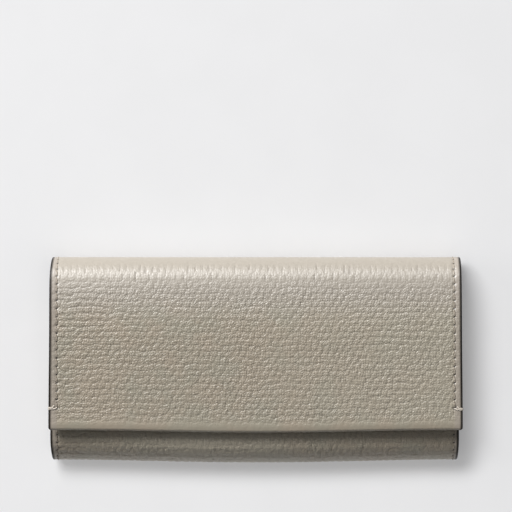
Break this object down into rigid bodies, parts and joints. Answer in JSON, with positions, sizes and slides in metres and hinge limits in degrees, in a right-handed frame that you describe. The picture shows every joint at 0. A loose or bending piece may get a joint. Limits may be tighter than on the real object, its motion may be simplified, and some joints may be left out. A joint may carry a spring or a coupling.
{
  "type": "purse wallet",
  "caption": "Long grained leather purse wallet whose flap folds over a front panel, with card pockets, two note compartments, a zipped coin pocket and a magnetic snap.",
  "frame": {"origin": "middle of the rectangle that the closed wallet covers, at the height of its back face", "axes": "+X along the width, +Y from the bottom fold towards the spine, +Z out through the flap"},
  "size_m": [0.19, 0.094, 0.0262],
  "materials": {
    "grained_leather": "pebble-grained taupe leather with a soft sheen and dark painted side edges",
    "smooth_leather": "thin smooth taupe leather",
    "lining": "finely woven brown lining",
    "board": "pressed fibre stiffening board",
    "zip_tape": "woven polyester tape",
    "plated_metal": "pale gold plating",
    "magnet": "dull pressed ferrite"
  },
  "bodies": {
    "back": {"back_leather": "grained_leather", "back_board": "board", "back_lining": "lining", "back_card_strip_1": "smooth_leather", "back_card_strip_2": "smooth_leather", "back_card_strip_3": "smooth_leather", "back_card_strip_4": "smooth_leather", "gusset_back_left": "smooth_leather", "gusset_back_right": "smooth_leather"},
    "spine": {"spine_leather": "grained_leather", "spine_lining": "lining"},
    "flap": {"flap_leather": "grained_leather", "flap_board": "board", "flap_lining": "lining", "flap_card_strip_1": "smooth_leather", "flap_card_strip_2": "smooth_leather", "flap_card_strip_3": "smooth_leather", "snap_stud": "plated_metal", "snap_stud_washer": "plated_metal"},
    "front": {"front_leather": "grained_leather", "front_board": "board", "front_lining": "lining", "front_card_strip_1": "smooth_leather", "front_card_strip_2": "smooth_leather", "gusset_front_left": "smooth_leather", "gusset_front_right": "smooth_leather", "snap_socket": "plated_metal", "snap_magnet": "magnet", "snap_socket_washer": "plated_metal"},
    "coin_pocket": {"coin_pocket_bag": "smooth_leather", "coin_gusset_left": "smooth_leather", "coin_gusset_right": "smooth_leather", "zip_tape_back": "zip_tape", "zip_tape_front": "zip_tape", "zip_teeth_back": "plated_metal", "zip_teeth_front": "plated_metal", "zip_stops": "plated_metal"},
    "zip_slider": {"zip_slider": "plated_metal"},
    "zip_puller": {"zip_puller": "plated_metal"}
  },
  "joints": [
    {"name": "spine_fold", "type": "hinge", "parent": "back", "child": "spine", "pos_m": [0, 0.04407, 0.00293], "axis": [-1, 0, 0], "range_deg": [0, 90]},
    {"name": "flap_fold", "type": "hinge", "parent": "spine", "child": "flap", "pos_m": [0, 0.04407, 0.02327], "axis": [-1, 0, 0], "range_deg": [0, 90]},
    {"name": "pocket_swing", "type": "hinge", "parent": "back", "child": "coin_pocket", "pos_m": [0, -0.047, 0.0106], "axis": [1, 0, 0], "range_deg": [0, 6.1]},
    {"name": "front_swing", "type": "hinge", "parent": "back", "child": "front", "pos_m": [0, -0.047, 0.0106], "axis": [1, 0, 0], "range_deg": [0, 12.1]},
    {"name": "zip_slide", "type": "slide", "parent": "coin_pocket", "child": "zip_slider", "axis": [-1, 0, 0], "range_m": [0, 0.148]},
    {"name": "puller_swing", "type": "hinge", "parent": "zip_slider", "child": "zip_puller", "pos_m": [0.074, 0.02955, 0.0111], "axis": [0, 0, -1], "range_deg": [0, 180]}
  ],
  "couplings": [
    {"joint": "pocket_swing", "follows": "flap_fold", "ratio": 0.066667},
    {"joint": "front_swing", "follows": "flap_fold", "ratio": 0.13333}
  ]
}
